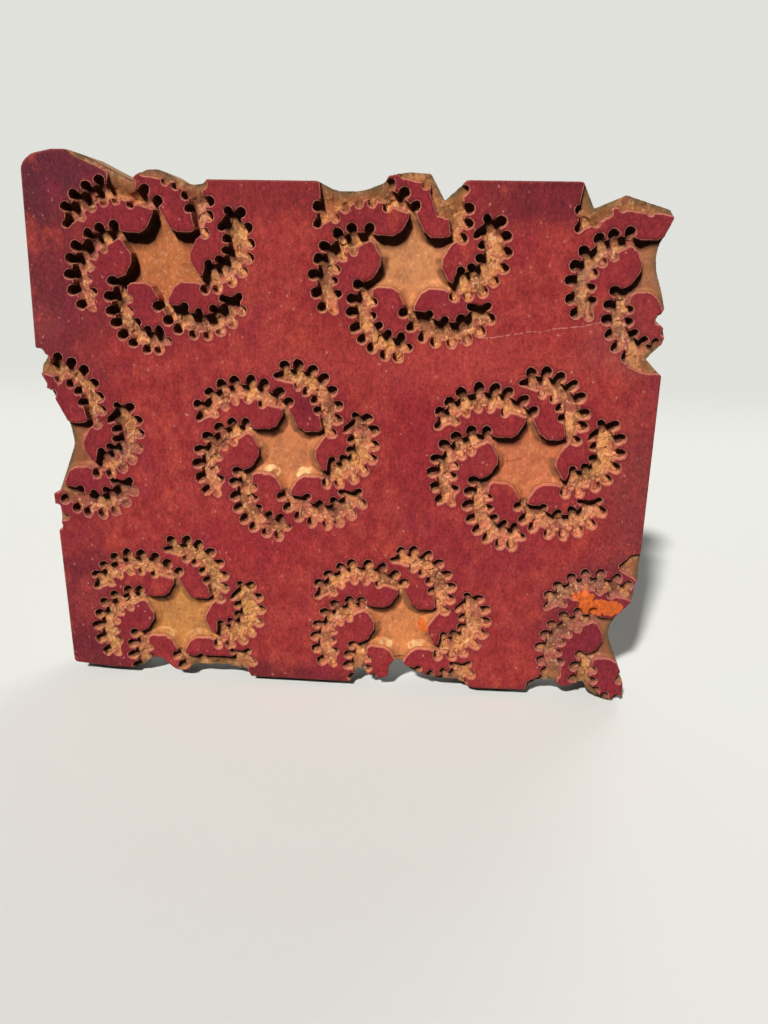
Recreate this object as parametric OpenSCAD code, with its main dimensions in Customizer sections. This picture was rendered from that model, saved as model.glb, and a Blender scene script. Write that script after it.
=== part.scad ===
// Hand printing block. Three layers of boards lie with their grain crossed: an upright hardwood face that
// carries the carving, a level core and an upright back with two hand grips. Wooden pegs pin the layers.
// X runs across the block, Y from the printing face to the back, and Z up. The origin is under the middle
// of the outline, at the height of its lowest point and halfway through the thickness.

/* [Pattern] */
// Distance between two stars of one row
column_step = 182.4; // [178:0.2:188]
// Height between two rows of stars, which stand half a step aside
row_rise = 141.2; // [138:0.2:150]
// Radius of a star over its six tips
star_r = 35; // [33:0.5:38]
// Width of the flat end of a petal, which cuts the corner between two tips of the star
petal_flat = 6; // [2:0.5:8]
// Width of the neck where a channel leaves a star tip
neck_w = 6.6; // [4:0.1:7.4]
// Depth of the stars below the printing face
star_depth = 9; // [6:0.5:11]
// Depth of the channels below the printing face
channel_depth = 8; // [5:0.5:11]

/* [Comb notches] */
// Width of a notch where it leaves its channel
notch_w = 6; // [5:0.1:6.6]
// Width of the round head of an outer notch
outer_head = 7.8; // [6:0.1:8.2]
// Width of the round head of an inner notch
inner_head = 6.2; // [5:0.1:6.6]
// How far the outer notches reach out of their channel
outer_reach = 6.3; // [5.5:0.1:8]
// How far the inner notches reach out of their channel
inner_reach = 4.4; // [4:0.1:5]
// Distance of the notch at a channel's end from the edge of the outer comb
end_inset = 4; // [3:0.1:5]
// Distance between two outer notches along the channel
outer_pitch = 10.2; // [9.5:0.1:12]

/* [Outline] */
// From the outermost star on the left to the left edge
left_margin = 9.4; // [8.4:0.2:16]
// From the outermost stars on the right to the right edge
right_margin = 0.1; // [0:0.1:6]
// From the top row of stars to the straight top edge
top_margin = 54; // [53:0.5:60]
// From the bottom row of stars to the straight bottom edge
bottom_margin = 49.6; // [48.6:0.2:54]

/* [Layers] */
// Thickness of the carved face boards
face_t = 20; // [18:0.5:26]
// Thickness of the core boards
core_t = 15; // [12:0.5:22]
// Thickness of the back boards
back_t = 15; // [12:0.5:22]
// Width of the middle face board
face_board_w = 156; // [130:1:180]
// Height of the middle core board
core_board_h = 138; // [132:1:160]
// Width of each inner back board
back_board_w = 117; // [100:1:130]

/* [Tongues] */
// Thickness of the tongues and of their grooves
tongue_t = 5; // [3:0.5:6]
// How far a tongue reaches into the next board
tongue_reach = 7; // [4:0.5:10]
// Air left at the bottom of a groove
groove_air = 0.3; // [0.1:0.1:1]

/* [Hand grips] */
// Length of a hand grip
grip_l = 105; // [90:1:115]
// Width of a hand grip
grip_w = 32; // [26:1:36]
// Depth of the finger pocket in the core
pocket_depth = 10; // [6:0.5:12]
// How far the finger pocket reaches behind the back board
pocket_undercut = 7; // [3:0.5:9]

/* [Pegs] */
// Diameter of the pegs
peg_d = 12; // [8:0.5:16]
// How deep the pegs bite into the face boards
peg_bite = 7; // [4:0.5:9]
// Clearance round a peg in its hole
peg_gap = 0.05; // [0.05:0.01:0.1]

/* [Hidden] */
$fn = 48;

block_t = face_t + core_t + back_t;
face_y = -block_t / 2;
core_y = face_y + face_t;
back_y = core_y + core_t;
// Longer than the block is in any direction, and a margin for clean cuts
far = 1000;
over = 1;
// Steps of the arc at a notch tip and of a rounded corner
tip_steps = 5;
corner_turn = 18;

// Stars: half steps to the right of the top middle star, rows down, turn of the pinwheel in degrees
STARS = [
    [-2, 0, 1.5], [0, 0, -1], [2, 0, -0.8],
    [-3, 1, 1], [-1, 1, -1], [1, 1, -0.6],
    [-2, 2, 0], [0, 2, -0.6], [2, 2, -1]
];
first_left = STARS[0];
first_middle = STARS[1];
first_right = STARS[2];
second_left = STARS[3];
third_left = STARS[6];
third_middle = STARS[7];
third_right = STARS[8];

// The six channels, in turn from the top tip to the left: distance of the arc's centre from the star's
// centre and its direction past the tip; radius over the outer notch tips and directions of the first and
// last outer notch; radius to the inner notch tips, directions of the first and last inner notch and how
// many there are
CHANNELS = [
    [33, 75, 48.5, 42, 144, 27.5, 66, 141, 5],
    [37, 51, 39, 25, 154, 17.8, 49, 150, 5],
    [33, 47, 38, 33, 153, 16.4, 50, 156, 5],
    [34, 54, 39, 25, 151, 16, 52, 152, 4],
    [36, 47, 36.5, 24, 156, 11.8, 32, 162, 5],
    [33, 52, 37.5, 32, 162, 15.6, 62, 140, 4]
];

// How unevenly the notches are cut by hand: in degrees along the arc, and in length
notch_stray = 1.6;
reach_stray = 0.6;

function star_at(star) = [star[0] * column_step / 2, -star[1] * row_rise];
function dir(angle) = [cos(angle), sin(angle)];
function turned(point, angle) = [
    point[0] * cos(angle) - point[1] * sin(angle),
    point[0] * sin(angle) + point[1] * cos(angle)
];

// Outline round the stars that it cuts. Each point is given from its star, with the radius of its corner.
function near_star(star, points) = [
    for (point = points) [star_at(star)[0] + point[0], star_at(star)[1] + point[1], point[2]]
];
left = -left_margin;
right = right_margin;
top = top_margin;
low = -bottom_margin;
CORNERS = concat(
    near_star(first_left, [
        [-98.6, 62, 10], [-90.6, 69, 12], [-70.6, 73, 25], [-59.6, 71, 15], [-19.1, 51.5, 0.5],
        [-16.6, 54.5, 2], [-8.6, 59.5, 6], [1.4, 60, 8], [10.4, 54.5, 10], [24.4, 50, 8],
        [31.4, 50.5, 3], [36.4, top - 0.7, 2]
    ]),
    near_star(first_middle, [
        [-67, top - 0.7, 6], [-54, 47, 12], [-36, 47, 20], [-20, 53, 4], [-17.5, 57, 1], [-4, 60, 15],
        [12, 59, 1], [22, 42, 0.5], [37, top + 1, 3]
    ]),
    near_star(first_right, [
        [-65.9, top + 1, 4], [-57.4, 38, 0.5], [-36.4, 47, 2], [-5.9, 38, 4], [-2.9, 33, 4],
        [-11.4, 14, 10], [-12.4, 2, 20], [-5.4, -17, 15], [-2.4, -28, 1.5], [-8.4, -35.5, 2],
        [-2.4, -40.5, 3], [-0.6, -47, 4], [-2.4, -53, 3], [-11.4, -63, 1], [right, -74.5, 1]
    ]),
    near_star(third_right, [
        [right, 50.4, 0.5], [-2.1, 46.4, 1], [-1.9, 33.4, 8], [-14.4, 18.4, 6], [-18.4, 4.4, 14],
        [-4.9, -28.6, 0.5], [-7.4, -30.6, 0.5], [-2.4, -35.6, 5], [-1.6, -49.6, 2.5], [-7.4, -52.1, 1],
        [-11.4, -55.6, 3], [-17.4, -54.1, 5], [-29.4, -47.1, 6], [-33.4, -39.6, 1], [-41.4, -40.1, 2],
        [-48.4, -44.1, 4], [-58.4, -39.6, 4], [-69.4, -40.1, 5], [-80.4, low + 1, 3]
    ]),
    near_star(third_middle, [
        [62, low, 6], [45, -44.1, 5], [30, -44.1, 10], [10, -38.1, 4], [2, -29.6, 2], [-5, -28.1, 3],
        [-9, -35.6, 3], [-9.5, -43.6, 2], [-20, -45.6, 4], [-29, -43.6, 1], [-29.5, -38.6, 1.5],
        [-35, -38.1, 2], [-41, low - 0.5, 1]
    ]),
    near_star(third_left, [
        [58.4, low - 0.5, 2], [56.4, -45.6, 1], [40.4, -43.1, 20], [12.4, -43.1, 8], [3.4, -48.1, 3],
        [-5.6, -47.6, 6], [-17.6, -37.1, 5], [-24.6, -37.6, 4], [-35.6, -48.1, 5],
        [-60.6, low + 1.5, 5], [-93.1, low + 4, 4]
    ]),
    near_star(second_left, [
        [-4.4, -70.3, 0.5], [-2.7, -68.3, 1], [-2.7, -50.8, 1], [-5.6, -48.8, 1], [-6, -39.8, 1.5],
        [-1.6, -37.3, 1.5], [3.6, -24.8, 10], [13.8, 1.2, 14], [11.1, 18.2, 10], [-1.4, 43.2, 1],
        [-3.6, 44, 0.5], [-3, 47.2, 0.5], [-7.2, 55.2, 3], [-6.4, 61.2, 6], [-1.4, 68.2, 2],
        [-4.4, 73.7, 3], [left, 74.2, 0.5]
    ])
);

// Places along the edge that are cleared to channel depth, each from its star
CLEARED = [
    [first_left, [[-35.6, 64], [-16.6, 58], [-15.6, 45], [-29.6, 44], [-35.6, 50]]],
    [first_middle, [[-66, 60], [-19, 60], [-18, 45], [-30, 44], [-45, 37], [-65, 37]]],
    [first_middle, [[11.5, 62], [34, 62], [35, 40], [29, 30], [17, 31], [12, 46]]],
    [first_right, [
        [-65.4, 56], [-40.4, 50], [-43.4, 40], [-50.4, 31], [-60.4, 26], [-66.4, 31], [-67.4, 42]
    ]],
    [first_right, [
        [-42.4, 50], [-36.4, 52], [-4.4, 41], [-6.4, 35], [-14.4, 35], [-34.4, 37], [-44.4, 39]
    ]],
    [first_right, [[-22.4, -57], [2.6, -57], [2.6, -73.5], [-14.4, -73], [-24.4, -68]]],
    [third_right, [[3.6, 73.4], [-6.4, 70.4], [-15.4, 62.4], [-14.4, 57.4], [-5.4, 52.4], [3.6, 47.4]]],
    [third_right, [
        [-80.4, -51.6], [-78.4, -40.6], [-68.4, -35.6], [-65.4, -27.6], [-59.4, -24.6], [-54.4, -30.6],
        [-54.4, -51.6]
    ]],
    [third_left, [
        [6.4, -51.6], [6.4, -37.6], [16.4, -33.6], [52.4, -33.6], [55.4, -41.6], [55.4, -51.6]
    ]]
];

// Rounds a corner with an arc that touches both edges, kept within half of the shorter edge
function rounded(before, here, after) =
    let (
        a = [before[0] - here[0], before[1] - here[1]],
        b = [after[0] - here[0], after[1] - here[1]],
        ua = a / norm(a),
        ub = b / norm(b),
        between = acos(max(-1, min(1, ua * ub))),
        reach = min(here[2] / tan(between / 2), 0.48 * min(norm(a), norm(b))),
        steps = max(1, round((180 - between) / corner_turn)),
        p = [here[0], here[1]]
    )
    between > 178 ? [p] : [
        for (i = [0 : steps])
            let (s = i / steps)
                (1 - s) * (1 - s) * (p + ua * reach) + 2 * s * (1 - s) * p + s * s * (p + ub * reach)
    ];
corner_count = len(CORNERS);
OUTLINE = [
    for (i = [0 : corner_count - 1])
        each rounded(
            CORNERS[(i + corner_count - 1) % corner_count],
            CORNERS[i],
            CORNERS[(i + 1) % corner_count]
        )
];
outline_x = [for (point = OUTLINE) point[0]];
outline_z = [for (point = OUTLINE) point[1]];
middle_x = (min(outline_x) + max(outline_x)) / 2;
block_w = max(outline_x) - min(outline_x);
block_h = max(outline_z) - min(outline_z);

// Seams between the boards of a layer
edge = block_w / 2 + over;
face_seam = face_board_w / 2;
core_low = (block_h - core_board_h) / 2;
core_high = core_low + core_board_h;

// Pegs stand in the middle of the outer back boards and of the grips, level with the middles of the core
// boards
outer_back_w = block_w / 2 - back_board_w;
peg_columns = [
    -back_board_w - outer_back_w / 2, -back_board_w / 2,
    back_board_w / 2, back_board_w + outer_back_w / 2
];
peg_rise = core_high / 2;
peg_front = core_y - peg_bite;
peg_l = block_t / 2 - peg_front;

// Moves a drawing made round the top middle star into the frame of the block
module in_block() {
    translate([-middle_x, -min(outline_z)]) children();
}

module outline() {
    in_block() polygon(OUTLINE);
}

// Stands a drawing upright and gives it a thickness behind the depth y
module upright(y, thickness) {
    translate([0, y + thickness, 0]) rotate([90, 0, 0]) linear_extrude(thickness) children();
}

// One notch: it stands on the edge of the channel at the point foot and widens to a round head
function notch(foot, angle, reach, head) = concat(
    [foot + notch_w / 2 * dir(angle - 90)],
    [
        for (i = [0 : tip_steps])
            foot + (reach - head / 2) * dir(angle) + head / 2 * dir(angle - 90 + 180 * i / tip_steps)
    ],
    [foot + notch_w / 2 * dir(angle + 90)]
);

// One channel in the frame of its star tip, which points up: out of the neck, along the outer comb, round
// the end and back along the inner comb
function channel(arc, seed) =
    let (
        centre = arc[0] * [-sin(arc[1]), cos(arc[1])],
        outer_r = arc[2] - outer_reach,
        inner_r = arc[5] + inner_reach,
        end_r = outer_r - end_inset,
        outer_count = round((arc[4] - arc[3]) * PI / 180 * outer_r / outer_pitch),
        inner_count = arc[8] - 1,
        stray = rands(-1, 1, 60, seed),
        neck = star_r * 0.8
    )
    concat(
        [[neck_w / 2, neck]],
        [
            for (i = [0 : outer_count])
                let (angle = arc[3] + (arc[4] - arc[3]) * i / outer_count + notch_stray * stray[i])
                    each notch(centre + outer_r * dir(angle), angle,
                        outer_reach + reach_stray * stray[i + 15], outer_head)
        ],
        notch(centre + end_r * dir(arc[4] + 10), arc[4] + 78, outer_reach - 1, inner_head),
        [
            for (i = [inner_count : -1 : 0])
                let (angle = arc[6] + (arc[7] - arc[6]) * i / inner_count + notch_stray * stray[i + 30])
                    each notch(centre + inner_r * dir(angle), angle + 180,
                        inner_reach + reach_stray * stray[i + 45], inner_head)
        ],
        [[-neck_w / 2, star_r - 2], [-neck_w / 2, neck]]
    );

// Six-pointed star, one tip up. The flat end of a petal cuts off each corner between two tips.
module star() {
    flat_r = star_r / sqrt(3) + petal_flat / 2 / sqrt(3);
    polygon([
        for (i = [0 : 5])
            each [
                turned([0, star_r], 60 * i),
                turned([petal_flat / 2, flat_r], 60 * i + 30),
                turned([-petal_flat / 2, flat_r], 60 * i + 30)
            ]
    ]);
}

module stars() {
    in_block() for (place = STARS) translate(star_at(place)) rotate(place[2]) star();
}

module channels() {
    in_block() {
        for (s = [0 : len(STARS) - 1], k = [0 : 5])
            translate(star_at(STARS[s]))
                polygon([
                    for (point = channel(CHANNELS[k], 10 * s + k)) turned(point, 60 * k + STARS[s][2])
                ]);
        for (place = CLEARED)
            translate(star_at(place[0])) polygon(place[1]);
    }
}

// The part of the outline between two seams, which is one board of a layer
module strip(from_x, to_x) {
    intersection() {
        outline();
        translate([from_x, -over]) square([to_x - from_x, far]);
    }
}

module course(from_z, to_z) {
    intersection() {
        outline();
        translate([-far / 2, from_z]) square([far, to_z - from_z]);
    }
}

// Tongue of a layer that starts at the depth y, along a seam
module tongue(y, thickness) {
    upright(y + (thickness - tongue_t) / 2, tongue_t) children();
}

// Drill for the pegs, and the pegs themselves
module peg_rods(d, front, length) {
    for (column = [0 : 3], row = [-1 : 1])
        if (row != 0 || column == 0 || column == 3)
            translate([peg_columns[column], front, block_h / 2 + row * peg_rise])
                rotate([-90, 0, 0]) cylinder(d = d, h = length);
}

module peg_holes() {
    peg_rods(peg_d + 2 * peg_gap, peg_front, peg_l + over);
}

// Long hole with round ends, upright
module slot(length, width) {
    square([width, length - width], center = true);
    for (side = [-1, 1])
        translate([0, side * (length - width) / 2]) circle(d = width);
}

module grip_places() {
    for (side = [-1, 1])
        translate([side * back_board_w / 2, block_h / 2]) children();
}

module face_board(from_x, to_x, tongue_right, groove_left) {
    difference() {
        union() {
            upright(face_y, channel_depth) difference() {
                strip(from_x, to_x);
                channels();
                stars();
            }
            upright(face_y + channel_depth, star_depth - channel_depth) difference() {
                strip(from_x, to_x);
                stars();
            }
            upright(face_y + star_depth, face_t - star_depth) strip(from_x, to_x);
            if (tongue_right) face_tongue() strip(to_x, to_x + tongue_reach);
        }
        if (groove_left) face_tongue() strip(from_x - over, from_x + tongue_reach + groove_air);
        peg_holes();
    }
}

// The tongues of the face lie in the plain wood behind the carving
module face_tongue() {
    upright(core_y - (face_t - star_depth + tongue_t) / 2, tongue_t) children();
}

module core_board(from_z, to_z, tongue_up, groove_down) {
    difference() {
        union() {
            upright(core_y, core_t) course(from_z, to_z);
            if (tongue_up) tongue(core_y, core_t) course(to_z, to_z + tongue_reach);
        }
        if (groove_down) tongue(core_y, core_t) course(from_z - over, from_z + tongue_reach + groove_air);
        peg_holes();
        upright(back_y - pocket_depth, pocket_depth + over)
            grip_places() slot(grip_l + 2 * pocket_undercut, grip_w + 2 * pocket_undercut);
    }
}

module back_board(from_x, to_x, tongue_right, groove_left) {
    difference() {
        union() {
            upright(back_y, back_t) strip(from_x, to_x);
            if (tongue_right) tongue(back_y, back_t) strip(to_x, to_x + tongue_reach);
        }
        if (groove_left) tongue(back_y, back_t) strip(from_x - over, from_x + tongue_reach + groove_air);
        peg_holes();
        upright(back_y - over, back_t + 2 * over) grip_places() slot(grip_l, grip_w);
    }
}

module face_board_left() { color("firebrick") face_board(-edge, -face_seam, true, false); }
module face_board_middle() { color("brown") face_board(-face_seam, face_seam, true, true); }
module face_board_right() { color("firebrick") face_board(face_seam, edge, false, true); }
module core_board_top() { color("burlywood") core_board(core_high, block_h + over, false, true); }
module core_board_middle() { color("tan") core_board(core_low, core_high, true, true); }
module core_board_bottom() { color("burlywood") core_board(-over, core_low, true, false); }
module back_board_outer_left() { color("peru") back_board(-edge, -back_board_w, true, false); }
module back_board_inner_left() { color("sandybrown") back_board(-back_board_w, 0, true, true); }
module back_board_inner_right() { color("peru") back_board(0, back_board_w, true, true); }
module back_board_outer_right() { color("sandybrown") back_board(back_board_w, edge, false, true); }
module layer_pegs() { color("saddlebrown") peg_rods(peg_d, peg_front, peg_l); }

face_board_left();
face_board_middle();
face_board_right();
core_board_top();
core_board_middle();
core_board_bottom();
back_board_outer_left();
back_board_inner_left();
back_board_inner_right();
back_board_outer_right();
layer_pegs();
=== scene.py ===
"""Carved wooden printing block, dressed over its packed boards."""
import math

import bmesh
import bpy
from mathutils import Matrix, Vector, noise
from mathutils.bvhtree import BVHTree


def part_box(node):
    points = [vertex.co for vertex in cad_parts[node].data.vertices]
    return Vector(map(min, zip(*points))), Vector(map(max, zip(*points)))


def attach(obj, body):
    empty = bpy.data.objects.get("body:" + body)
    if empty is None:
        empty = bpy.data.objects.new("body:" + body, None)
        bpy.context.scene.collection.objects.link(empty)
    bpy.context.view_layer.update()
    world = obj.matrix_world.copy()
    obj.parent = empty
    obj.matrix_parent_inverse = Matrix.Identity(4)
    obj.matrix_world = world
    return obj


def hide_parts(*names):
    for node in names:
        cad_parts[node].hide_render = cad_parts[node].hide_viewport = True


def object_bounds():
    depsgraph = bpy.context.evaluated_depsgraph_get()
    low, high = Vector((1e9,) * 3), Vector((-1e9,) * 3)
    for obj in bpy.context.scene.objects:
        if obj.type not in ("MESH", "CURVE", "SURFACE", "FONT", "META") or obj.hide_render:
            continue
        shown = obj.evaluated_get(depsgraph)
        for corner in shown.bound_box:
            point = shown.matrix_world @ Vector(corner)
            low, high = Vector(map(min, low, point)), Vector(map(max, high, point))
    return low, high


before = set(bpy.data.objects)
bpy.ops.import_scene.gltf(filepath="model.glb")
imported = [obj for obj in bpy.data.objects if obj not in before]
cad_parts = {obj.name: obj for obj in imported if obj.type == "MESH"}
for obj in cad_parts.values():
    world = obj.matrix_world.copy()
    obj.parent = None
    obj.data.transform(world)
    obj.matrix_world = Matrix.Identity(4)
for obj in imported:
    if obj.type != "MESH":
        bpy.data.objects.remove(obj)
CAD_BOX = [list(corner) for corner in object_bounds()]

MM = 0.001
FACE_Y = -25 * MM
CORE_Y = -5 * MM
TONGUE = 7 * MM
CHANNEL_DEPTH = 8 * MM
STAR_DEPTH = 9 * MM
FACE_BOARDS = ["face_board_left", "face_board_middle", "face_board_right"]
CORE_BOARDS = ["core_board_top", "core_board_middle", "core_board_bottom"]
BACK_BOARDS = ["back_board_outer_left", "back_board_inner_left", "back_board_inner_right", "back_board_outer_right"]

# The star in the middle of the top row, which the pattern and the camera are measured from
TOP_STAR = Vector((50.2 * MM, FACE_Y, 338 * MM))
STEP = 182.4 * MM
ROW = 141.2 * MM
STAR_R = 35 * MM
# The length that the camera's place is counted in
CAMERA_UNIT = 180 * MM


def srgb(r, g, b):
    """Colour from the 0 to 255 numbers of a picture."""
    def linear(v):
        v /= 255
        return v / 12.92 if v <= 0.04045 else ((v + 0.055) / 1.055) ** 2.4
    return (linear(r), linear(g), linear(b))


class Motif:
    """One pinwheel: half steps and rows from the top star, its turn, how it is cut and its wood's colours.

    slim is how much thinner than drawn the teeth end and long how much longer its notches are. deep is the
    share of the full depth that its channels have. Its star has a steep rim, facets as wide as slope and a
    floor as deep as bowl, in millimetres. The number after bowl is the painted light on the facets that face up: how
    pale they are painted.
    """

    def __init__(self, column, row, turned, slim, long, deep, rim, slope, bowl, clean, star, channel):
        self.turned = turned
        self.slim = slim * MM
        self.long = long * MM
        self.x = TOP_STAR.x + column * STEP / 2
        self.z = TOP_STAR.z - row * ROW
        self.deep = deep
        self.rim = rim * MM
        self.slope = slope * MM
        self.bowl = bowl * MM
        self.clean = clean
        self.star = Vector(srgb(*star))
        self.channel = Vector(srgb(*channel))


MOTIFS = [
    Motif(-2, 0, 1.5, 0.2, 0.3, 1.10, 8.8, 1.5, 9.4, 0.2, (184, 108, 64), (184, 120, 88)),
    Motif(0, 0, -1, 0.6, 0.6, 0.95, 4.2, 5.0, 8.2, 0.1, (204, 136, 90), (198, 134, 84)),
    Motif(2, 0, -0.8, 0.7, 0.8, 0.84, 5.5, 3.0, 7.5, 0.2, (162, 108, 82), (158, 110, 82)),
    Motif(-3, 1, 1, 0.6, 1.0, 0.92, 5.0, 3.0, 7.0, 0.2, (158, 92, 74), (146, 86, 70)),
    Motif(-1, 1, -1, 0.9, 1.2, 0.70, 2.8, 6.0, 6.6, 0.9, (202, 124, 80), (198, 124, 86)),
    Motif(1, 1, -0.6, 1.1, 1.7, 0.80, 3.6, 5.0, 7.0, 0.15, (198, 110, 74), (212, 138, 96)),
    Motif(-2, 2, 0, 0.9, 1.2, 0.64, 2.4, 6.0, 5.6, 0.45, (194, 130, 72), (190, 134, 82)),
    Motif(0, 2, -0.6, 0.9, 1.1, 0.60, 2.4, 6.0, 6.0, 0.7, (212, 130, 78), (206, 132, 86)),
    Motif(2, 2, -1, 0.9, 0.8, 0.52, 3.0, 3.0, 5.0, 0.2, (140, 80, 76), (142, 92, 78)),
]


# The six channels of a motif, as in the solids: distance and direction of the arc's centre from the star's,
# radius where the outer teeth end, radius where the inner teeth end, first and last direction
ARCS = [
    (33, 75, 42.2, 31.9, 42, 144), (37, 51, 32.7, 22.2, 25, 154), (33, 47, 31.7, 20.8, 33, 153),
    (34, 54, 32.7, 20.4, 25, 151), (36, 47, 30.2, 16.2, 24, 156), (33, 52, 31.2, 20.0, 32, 162)
]


# ---------- camera ----------

def turn(axis, angle):
    return Matrix.Rotation(angle, 3, axis)


def set_camera():
    """Stands the camera where the perspective of the printing face puts it."""
    view = turn("Z", 0.0417) @ turn("Y", 0.0687) @ turn("X", 0.282)
    shift = Vector((0.1074, -0.9846, 3.1534))
    centre = -(view.transposed() @ shift)

    def in_block(v):
        return Vector((v.x, v.z, -v.y))

    camera = bpy.data.cameras.new("camera")
    camera.sensor_width = 36
    camera.lens = 800 / 1024 * 36
    camera.clip_start = 0.01
    stand = bpy.data.objects.new("camera", camera)
    right = in_block(view[0])
    up = -in_block(view[1])
    back = -in_block(view[2])
    place = in_block(centre) * CAMERA_UNIT + TOP_STAR
    stand.matrix_world = Matrix((
        (right.x, up.x, back.x, place.x),
        (right.y, up.y, back.y, place.y),
        (right.z, up.z, back.z, place.z),
        (0, 0, 0, 1)))
    bpy.context.collection.objects.link(stand)
    bpy.context.scene.camera = stand


# ---------- node helpers ----------

class Sheet:
    """A material's node sheet, with short calls for the nodes that the finishes share."""

    def __init__(self, name):
        self.material = bpy.data.materials.new(name)
        self.material.use_nodes = True
        self.tree = self.material.node_tree
        self.tree.nodes.clear()
        self.output = self.add("ShaderNodeOutputMaterial")
        self.shader = self.add("ShaderNodeBsdfPrincipled")
        self.link(self.shader.outputs[0], self.output.inputs[0])
        self.place = self.add("ShaderNodeTexCoord").outputs["Object"]
        split = self.add("ShaderNodeSeparateXYZ")
        self.link(self.place, split.inputs[0])
        self.x, self.y, self.z = split.outputs

    @classmethod
    def of_world(cls, world):
        sheet = cls.__new__(cls)
        sheet.tree = world.node_tree
        return sheet

    def add(self, kind, **settings):
        node = self.tree.nodes.new(kind)
        for key, value in settings.items():
            setattr(node, key, value)
        return node

    def link(self, a, b):
        self.tree.links.new(a, b)

    def feed(self, socket, value):
        if isinstance(value, bpy.types.NodeSocket):
            self.link(value, socket)
        else:
            socket.default_value = value

    def attribute(self, name, output="Fac"):
        return self.add("ShaderNodeAttribute", attribute_name=name).outputs[output]

    def math(self, operation, a, b=0.0, c=0.0):
        node = self.add("ShaderNodeMath", operation=operation)
        for socket, value in zip(node.inputs, (a, b, c)):
            self.feed(socket, value)
        return node.outputs[0]

    def ramp(self, value, low, high, to_low=0.0, to_high=1.0):
        """Smooth step of a value between two limits."""
        node = self.add("ShaderNodeMapRange", interpolation_type="SMOOTHSTEP")
        self.feed(node.inputs[0], value)
        if low > high:
            low, high, to_low, to_high = high, low, to_high, to_low
        for socket, number in zip(list(node.inputs)[1:5], (low, high, to_low, to_high)):
            self.feed(socket, number)
        return node.outputs[0]

    def mix(self, factor, a, b, blend="MIX"):
        node = self.add("ShaderNodeMix", data_type="RGBA", blend_type=blend)
        self.feed(node.inputs["Factor"], factor)
        for socket, value in ((node.inputs[6], a), (node.inputs[7], b)):
            if isinstance(value, bpy.types.NodeSocket):
                self.link(value, socket)
            else:
                socket.default_value = (*value, 1)
        return node.outputs[2]

    def shaded(self, colour, shade):
        """Colour made darker or lighter by a grey value around 1."""
        grey = self.add("ShaderNodeCombineColor")
        for socket in grey.inputs[:3]:
            self.link(shade, socket)
        return self.mix(1.0, colour, grey.outputs[0], "MULTIPLY")

    def stretched(self, scale, shift=(0, 0, 0)):
        node = self.add("ShaderNodeMapping")
        self.link(self.place, node.inputs["Vector"])
        node.inputs["Scale"].default_value = scale
        node.inputs["Location"].default_value = shift
        return node.outputs[0]

    def noise(self, scale, detail=4.0, rough=0.55, shift=(0, 0, 0), distortion=0.0):
        """Noise with its own scale on each axis, in waves per metre."""
        node = self.add("ShaderNodeTexNoise")
        self.link(self.stretched(scale, shift), node.inputs["Vector"])
        node.inputs["Scale"].default_value = 1.0
        node.inputs["Detail"].default_value = detail
        node.inputs["Roughness"].default_value = rough
        node.inputs["Distortion"].default_value = distortion
        return node.outputs["Fac"]

    def specks(self, scale, shift=(0, 0, 0)):
        node = self.add("ShaderNodeTexVoronoi")
        self.link(self.stretched(scale, shift), node.inputs["Vector"])
        node.inputs["Scale"].default_value = 1.0
        return node.outputs["Distance"]

    def bump(self, height, strength, distance, before=None):
        node = self.add("ShaderNodeBump")
        node.inputs["Strength"].default_value = strength
        node.inputs["Distance"].default_value = distance
        self.link(height, node.inputs["Height"])
        if before is not None:
            self.link(before, node.inputs["Normal"])
        return node.outputs[0]

    def patch(self, x, z, wide, high, wander):
        """1 in the middle of a soft oval on the printing face, 0 outside; sizes in millimetres."""
        u = self.math("MULTIPLY_ADD", self.x, 1000 / wide, -x / wide)
        v = self.math("MULTIPLY_ADD", self.z, 1000 / high, -z / high)
        r = self.math("ADD", self.math("MULTIPLY", u, u), self.math("MULTIPLY", v, v))
        r = self.math("ADD", self.math("SQRT", r), wander)
        return self.ramp(r, 1.0, 0.25)

    def stroke(self, start, end, width, wander=None):
        """1 on a straight line on the printing face, 0 away from it; places in millimetres."""
        sx, sz = start
        ex, ez = end
        long = math.hypot(ex - sx, ez - sz)
        ux, uz = (ex - sx) / long, (ez - sz) / long
        dx = self.math("MULTIPLY_ADD", self.x, 1000.0, -sx)
        dz = self.math("MULTIPLY_ADD", self.z, 1000.0, -sz)
        if wander is not None:
            dz = self.math("ADD", dz, wander)
        along = self.math("ADD", self.math("MULTIPLY", dx, ux), self.math("MULTIPLY", dz, uz))
        across = self.math("ADD", self.math("MULTIPLY", dx, -uz), self.math("MULTIPLY", dz, ux))
        side = self.ramp(self.math("ABSOLUTE", across), width, width * 0.3)
        inside = self.math("ABSOLUTE", self.math("SUBTRACT", along, long / 2))
        return self.math("MULTIPLY", side, self.ramp(inside, long / 2, long / 2 - 6))


# ---------- finishes ----------

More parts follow.
